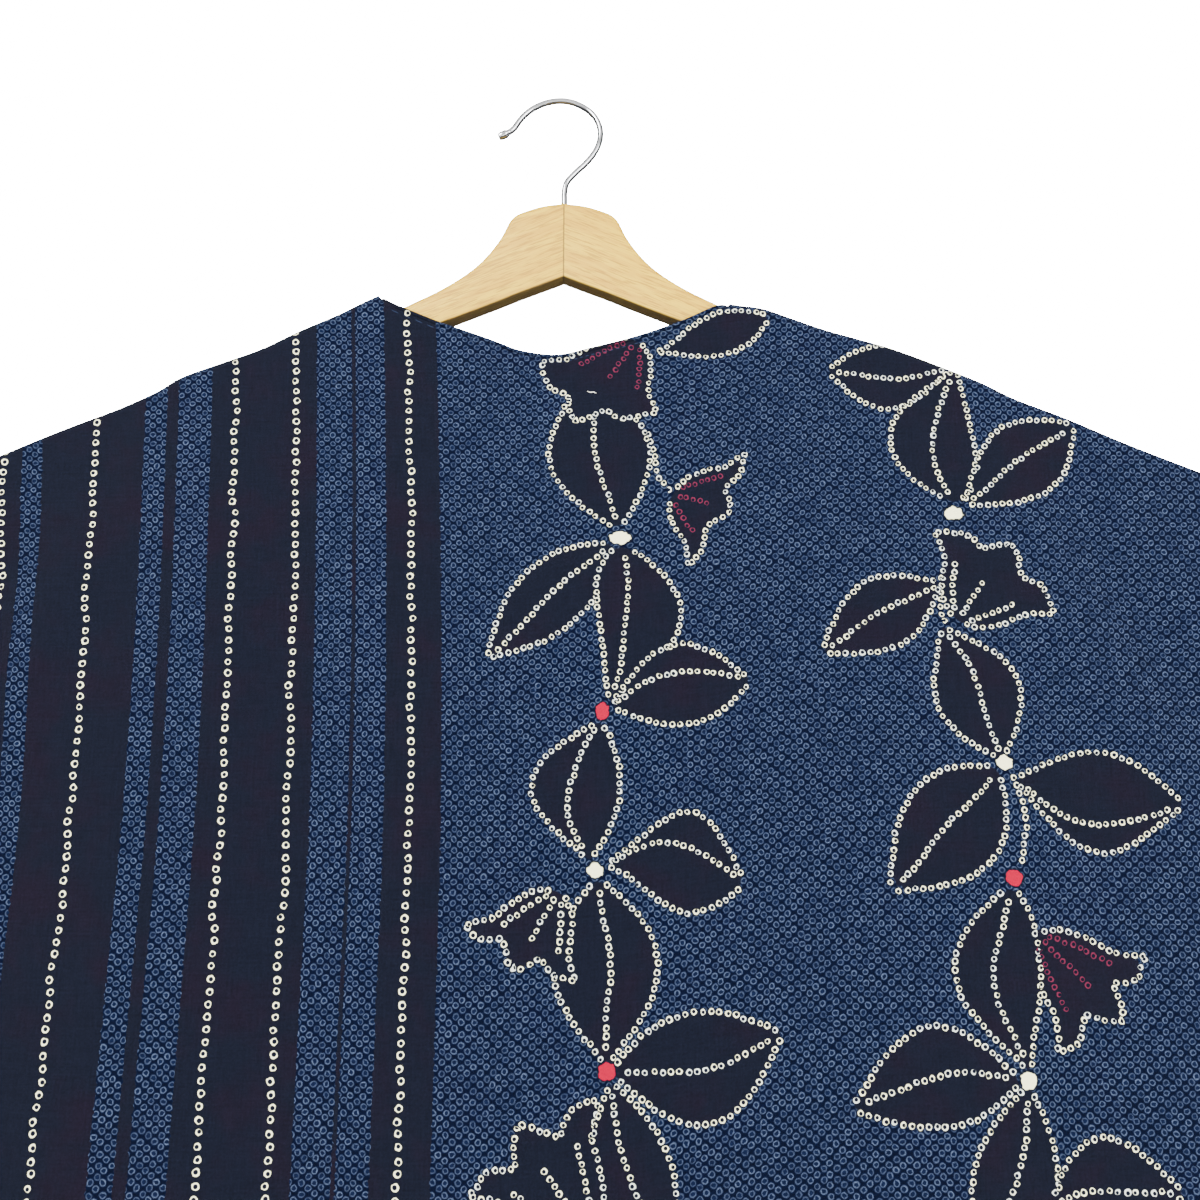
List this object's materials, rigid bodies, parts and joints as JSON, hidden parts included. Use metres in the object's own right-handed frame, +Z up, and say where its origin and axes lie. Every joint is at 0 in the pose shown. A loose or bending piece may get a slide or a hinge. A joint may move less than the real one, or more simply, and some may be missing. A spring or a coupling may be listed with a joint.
{
  "type": "kimono jacket on a hanger",
  "caption": "Short kimono-style jacket of indigo cotton, open down the front, with wide sleeves and a narrow rolled neck edge, hanging on a plain wooden hanger by its wire hook.",
  "frame": {"origin": "inner top of the hanger's hook, where the rail carries it", "axes": "+X along the hanger, to the right of someone looking at the jacket's back; +Y from the jacket's back to its open front; +Z up"},
  "size_m": [1.1574, 0.0476, 0.9214],
  "materials": {
    "indigo_cotton": "matte",
    "binding_cotton": "matte",
    "pale_wood": "satin",
    "chrome_wire": "polished"
  },
  "bodies": {
    "root": {"back_left": "indigo_cotton", "back_right": "indigo_cotton", "front_left": "indigo_cotton", "front_right": "indigo_cotton", "sleeve_left": "indigo_cotton", "sleeve_right": "indigo_cotton", "neck_binding": "binding_cotton", "hanger_arm_left": "pale_wood", "hanger_arm_right": "pale_wood", "hanger_hook": "chrome_wire"}
  },
  "joints": []
}
